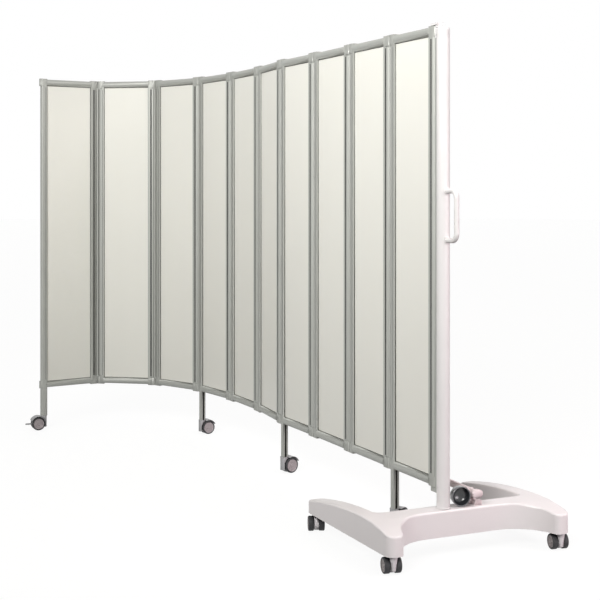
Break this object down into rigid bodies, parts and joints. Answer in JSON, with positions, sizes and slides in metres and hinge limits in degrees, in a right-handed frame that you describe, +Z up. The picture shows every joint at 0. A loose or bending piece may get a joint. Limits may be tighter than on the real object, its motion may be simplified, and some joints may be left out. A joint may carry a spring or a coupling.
{
  "type": "folding privacy screen",
  "caption": "Mobile folding privacy screen: framed opal leaves on double hinges, hung from a post on an H-shaped castor base, with castor legs and a push handle.",
  "frame": {"origin": "middle of the footprint of the screen as it stands in the picture, on the floor", "axes": "+Y along the leaves, away from the post; +Z up; +X from the post towards the base's right-hand arm, seen from the push handle"},
  "size_m": [1.16, 2.6514, 1.6473],
  "materials": {
    "satin_aluminium": "satin anodised",
    "pale_aluminium": "satin anodised",
    "opal_sheet": "smooth translucent opal",
    "white_paint": "semi-gloss powder coat",
    "white_moulding": "fine-grained moulded",
    "dark_steel": "matt black",
    "castor_grey": "moulded",
    "tyre_black": "matt",
    "gloss_black": "glossy"
  },
  "bodies": {
    "base": {"base_cover": "white_moulding", "base_chassis": "dark_steel", "post": "white_paint", "post_cap": "white_moulding", "upper_hinge_bracket": "white_paint", "lower_hinge_bracket": "white_paint", "post_hinge_strip": "pale_aluminium", "push_handle": "white_moulding", "stop_cup": "gloss_black", "pedal_bracket": "white_moulding"},
    "base_castor_near_left_hood": {"base_castor_near_left_body": "white_moulding"},
    "base_castor_near_left_rollers": {"base_castor_near_left_wheels": "tyre_black"},
    "base_castor_near_right_hood": {"base_castor_near_right_body": "white_moulding"},
    "base_castor_near_right_rollers": {"base_castor_near_right_wheels": "tyre_black"},
    "base_castor_far_left_hood": {"base_castor_far_left_body": "white_moulding"},
    "base_castor_far_left_rollers": {"base_castor_far_left_wheels": "tyre_black"},
    "base_castor_far_right_hood": {"base_castor_far_right_body": "white_moulding"},
    "base_castor_far_right_rollers": {"base_castor_far_right_wheels": "tyre_black"},
    "pedal": {"brake_pedal": "white_moulding"},
    "leaf_10": {"leaf_10_frame": "satin_aluminium", "leaf_10_panel": "opal_sheet"},
    "leaf_9": {"leaf_9_frame": "satin_aluminium", "leaf_9_panel": "opal_sheet"},
    "hinge_9": {"hinge_9_link": "pale_aluminium"},
    "leaf_8": {"leaf_8_frame": "satin_aluminium", "leaf_8_panel": "opal_sheet"},
    "hinge_8": {"hinge_8_link": "pale_aluminium"},
    "leaf_7": {"leaf_7_frame": "satin_aluminium", "leaf_7_panel": "opal_sheet"},
    "hinge_7": {"hinge_7_link": "pale_aluminium"},
    "leaf_6": {"leaf_6_frame": "satin_aluminium", "leaf_6_panel": "opal_sheet"},
    "hinge_6": {"hinge_6_link": "pale_aluminium"},
    "leaf_5": {"leaf_5_frame": "satin_aluminium", "leaf_5_panel": "opal_sheet"},
    "hinge_5": {"hinge_5_link": "pale_aluminium"},
    "leaf_4": {"leaf_4_frame": "satin_aluminium", "leaf_4_panel": "opal_sheet"},
    "hinge_4": {"hinge_4_link": "pale_aluminium"},
    "leaf_3": {"leaf_3_frame": "satin_aluminium", "leaf_3_panel": "opal_sheet"},
    "hinge_3": {"hinge_3_link": "pale_aluminium"},
    "leaf_2": {"leaf_2_frame": "satin_aluminium", "leaf_2_panel": "opal_sheet"},
    "hinge_2": {"hinge_2_link": "pale_aluminium"},
    "leaf_1": {"leaf_1_frame": "satin_aluminium", "leaf_1_panel": "opal_sheet"},
    "hinge_1": {"hinge_1_link": "pale_aluminium"},
    "leaf_10_castor_hood": {"leaf_10_castor_body": "castor_grey"},
    "leaf_10_castor_rollers": {"leaf_10_castor_wheels": "tyre_black"},
    "leaf_7_castor_hood": {"leaf_7_castor_body": "castor_grey"},
    "leaf_7_castor_rollers": {"leaf_7_castor_wheels": "tyre_black"},
    "leaf_4_castor_hood": {"leaf_4_castor_body": "castor_grey"},
    "leaf_4_castor_rollers": {"leaf_4_castor_wheels": "tyre_black"},
    "leaf_1_castor_hood": {"leaf_1_castor_body": "castor_grey"},
    "leaf_1_castor_rollers": {"leaf_1_castor_wheels": "tyre_black"},
    "leaf_1_brake": {"leaf_1_brake_lever": "castor_grey"}
  },
  "joints": [
    {"name": "base_castor_near_left_swivel", "type": "hinge", "parent": "base", "child": "base_castor_near_left_hood", "pos_m": [-0.04788, -1.30673, 0], "axis": [0, 0, 1], "continuous": true},
    {"name": "base_castor_near_left_roll", "type": "hinge", "parent": "base_castor_near_left_hood", "child": "base_castor_near_left_rollers", "pos_m": [-0.0444, -1.28703, 0.02437], "axis": [-0.9848, 0.1736, 0], "continuous": true},
    {"name": "base_castor_near_right_swivel", "type": "hinge", "parent": "base", "child": "base_castor_near_right_hood", "pos_m": [0.54612, -1.30673, 0], "axis": [0, 0, 1], "continuous": true},
    {"name": "base_castor_near_right_roll", "type": "hinge", "parent": "base_castor_near_right_hood", "child": "base_castor_near_right_rollers", "pos_m": [0.5496, -1.28703, 0.02437], "axis": [-0.9848, 0.1736, 0], "continuous": true},
    {"name": "base_castor_far_left_swivel", "type": "hinge", "parent": "base", "child": "base_castor_far_left_hood", "pos_m": [-0.04788, -0.77073, 0], "axis": [0, 0, 1], "continuous": true},
    {"name": "base_castor_far_left_roll", "type": "hinge", "parent": "base_castor_far_left_hood", "child": "base_castor_far_left_rollers", "pos_m": [-0.05472, -0.78952, 0.02437], "axis": [0.9397, -0.342, 0], "continuous": true},
    {"name": "base_castor_far_right_swivel", "type": "hinge", "parent": "base", "child": "base_castor_far_right_hood", "pos_m": [0.54612, -0.77073, 0], "axis": [0, 0, 1], "continuous": true},
    {"name": "base_castor_far_right_roll", "type": "hinge", "parent": "base_castor_far_right_hood", "child": "base_castor_far_right_rollers", "pos_m": [0.53928, -0.78952, 0.02437], "axis": [0.9397, -0.342, 0], "continuous": true},
    {"name": "pedal_rock", "type": "hinge", "parent": "base", "child": "pedal", "pos_m": [0.30712, -1.15673, 0.177], "axis": [1, 0, 0], "range_deg": [-8, 2]},
    {"name": "leaf_10_hinge", "type": "hinge", "parent": "leaf_10", "child": "base", "pos_m": [0.20112, -1.12023, 0], "axis": [0, 0, -1], "range_deg": [-60, 30]},
    {"name": "leaf_10_castor_swivel", "type": "hinge", "parent": "leaf_10", "child": "leaf_10_castor_hood", "pos_m": [0.19669, -0.86627, 0], "axis": [0, 0, 1], "continuous": true},
    {"name": "leaf_10_castor_roll", "type": "hinge", "parent": "leaf_10_castor_hood", "child": "leaf_10_castor_rollers", "pos_m": [0.21898, -0.85288, 0.03022], "axis": [-0.515, 0.8572, 0], "continuous": true},
    {"name": "hinge_9_inner", "type": "hinge", "parent": "hinge_9", "child": "leaf_10", "pos_m": [0.1966, -0.86127, 0], "axis": [0, 0, 1], "range_deg": [-90, 90]},
    {"name": "hinge_9_outer", "type": "hinge", "parent": "leaf_9", "child": "hinge_9", "pos_m": [0.19606, -0.83027, 0], "axis": [0, 0, 1], "range_deg": [-90, 90]},
    {"name": "hinge_8_inner", "type": "hinge", "parent": "hinge_8", "child": "leaf_9", "pos_m": [0.19154, -0.57131, 0], "axis": [0, 0, -1], "range_deg": [-90, 90]},
    {"name": "hinge_8_outer", "type": "hinge", "parent": "leaf_8", "child": "hinge_8", "pos_m": [0.191, -0.54032, 0], "axis": [0, 0, -1], "range_deg": [-90, 90]},
    {"name": "hinge_7_inner", "type": "hinge", "parent": "hinge_7", "child": "leaf_8", "pos_m": [0.18648, -0.28136, 0], "axis": [0, 0, 1], "range_deg": [-89.5, 90.5]},
    {"name": "hinge_7_outer", "type": "hinge", "parent": "leaf_7", "child": "hinge_7", "pos_m": [0.18567, -0.25037, 0], "axis": [0, 0, 1], "range_deg": [-89.5, 90.5]},
    {"name": "leaf_7_castor_swivel", "type": "hinge", "parent": "leaf_7", "child": "leaf_7_castor_hood", "pos_m": [0.17681, 0.00348, 0], "axis": [0, 0, 1], "continuous": true},
    {"name": "leaf_7_castor_roll", "type": "hinge", "parent": "leaf_7_castor_hood", "child": "leaf_7_castor_rollers", "pos_m": [0.20203, 0.00977, 0.03022], "axis": [-0.2419, 0.9703, 0], "continuous": true},
    {"name": "hinge_6_inner", "type": "hinge", "parent": "hinge_6", "child": "leaf_7", "pos_m": [0.17663, 0.00848, 0], "axis": [0, 0, -1], "range_deg": [-86.75, 93.25]},
    {"name": "hinge_6_outer", "type": "hinge", "parent": "leaf_6", "child": "hinge_6", "pos_m": [0.17731, 0.03947, 0], "axis": [0, 0, -1], "range_deg": [-86.75, 93.25]},
    {"name": "hinge_5_inner", "type": "hinge", "parent": "leaf_6", "child": "hinge_5", "pos_m": [0.19763, 0.29767, 0], "axis": [0, 0, -1], "range_deg": [-86.7, 93.3]},
    {"name": "hinge_5_outer", "type": "hinge", "parent": "hinge_5", "child": "leaf_5", "pos_m": [0.19828, 0.32866, 0], "axis": [0, 0, -1], "range_deg": [-86.7, 93.3]},
    {"name": "hinge_4_inner", "type": "hinge", "parent": "leaf_5", "child": "hinge_4", "pos_m": [0.18879, 0.58749, 0], "axis": [0, 0, 1], "range_deg": [-93.7, 86.3]},
    {"name": "hinge_4_outer", "type": "hinge", "parent": "hinge_4", "child": "leaf_4", "pos_m": [0.18565, 0.61833, 0], "axis": [0, 0, 1], "range_deg": [-93.7, 86.3]},
    {"name": "leaf_4_castor_swivel", "type": "hinge", "parent": "leaf_4", "child": "leaf_4_castor_hood", "pos_m": [0.14373, 0.86885, 0], "axis": [0, 0, 1], "continuous": true},
    {"name": "leaf_4_castor_roll", "type": "hinge", "parent": "leaf_4_castor_hood", "child": "leaf_4_castor_rollers", "pos_m": [0.16959, 0.87161, 0.03022], "axis": [-0.1063, 0.9943, 0], "continuous": true},
    {"name": "hinge_3_inner", "type": "hinge", "parent": "leaf_4", "child": "hinge_3", "pos_m": [0.14291, 0.87378, 0], "axis": [0, 0, -1], "range_deg": [-81.75, 98.25]},
    {"name": "hinge_3_outer", "type": "hinge", "parent": "hinge_3", "child": "leaf_3", "pos_m": [0.13346, 0.9033, 0], "axis": [0, 0, -1], "range_deg": [-81.75, 98.25]},
    {"name": "hinge_2_inner", "type": "hinge", "parent": "leaf_3", "child": "hinge_2", "pos_m": [0.01992, 1.13609, 0], "axis": [0, 0, 1], "range_deg": [-104.75, 75.25]},
    {"name": "hinge_2_outer", "type": "hinge", "parent": "hinge_2", "child": "leaf_2", "pos_m": [-0.00032, 1.15958, 0], "axis": [0, 0, 1], "range_deg": [-104.75, 75.25]},
    {"name": "hinge_1_inner", "type": "hinge", "parent": "leaf_2", "child": "hinge_1", "pos_m": [-0.21377, 1.30627, 0], "axis": [0, 0, -1], "range_deg": [-68.75, 111.25]},
    {"name": "hinge_1_outer", "type": "hinge", "parent": "hinge_1", "child": "leaf_1", "pos_m": [-0.24394, 1.31338, 0], "axis": [0, 0, -1], "range_deg": [-68.75, 111.25]},
    {"name": "leaf_1_castor_swivel", "type": "hinge", "parent": "leaf_1", "child": "leaf_1_castor_hood", "pos_m": [-0.49547, 1.27803, 0], "axis": [0, 0, 1], "continuous": true},
    {"name": "leaf_1_castor_roll", "type": "hinge", "parent": "leaf_1_castor_hood", "child": "leaf_1_castor_rollers", "pos_m": [-0.52147, 1.27776, 0.03022], "axis": [0.0105, -0.9999, 0], "continuous": true},
    {"name": "leaf_1_brake_press", "type": "hinge", "parent": "leaf_1_castor_hood", "child": "leaf_1_brake", "pos_m": [-0.53997, 1.27756, 0.03022], "axis": [0.0105, -0.9999, 0], "range_deg": [0, 12]}
  ]
}
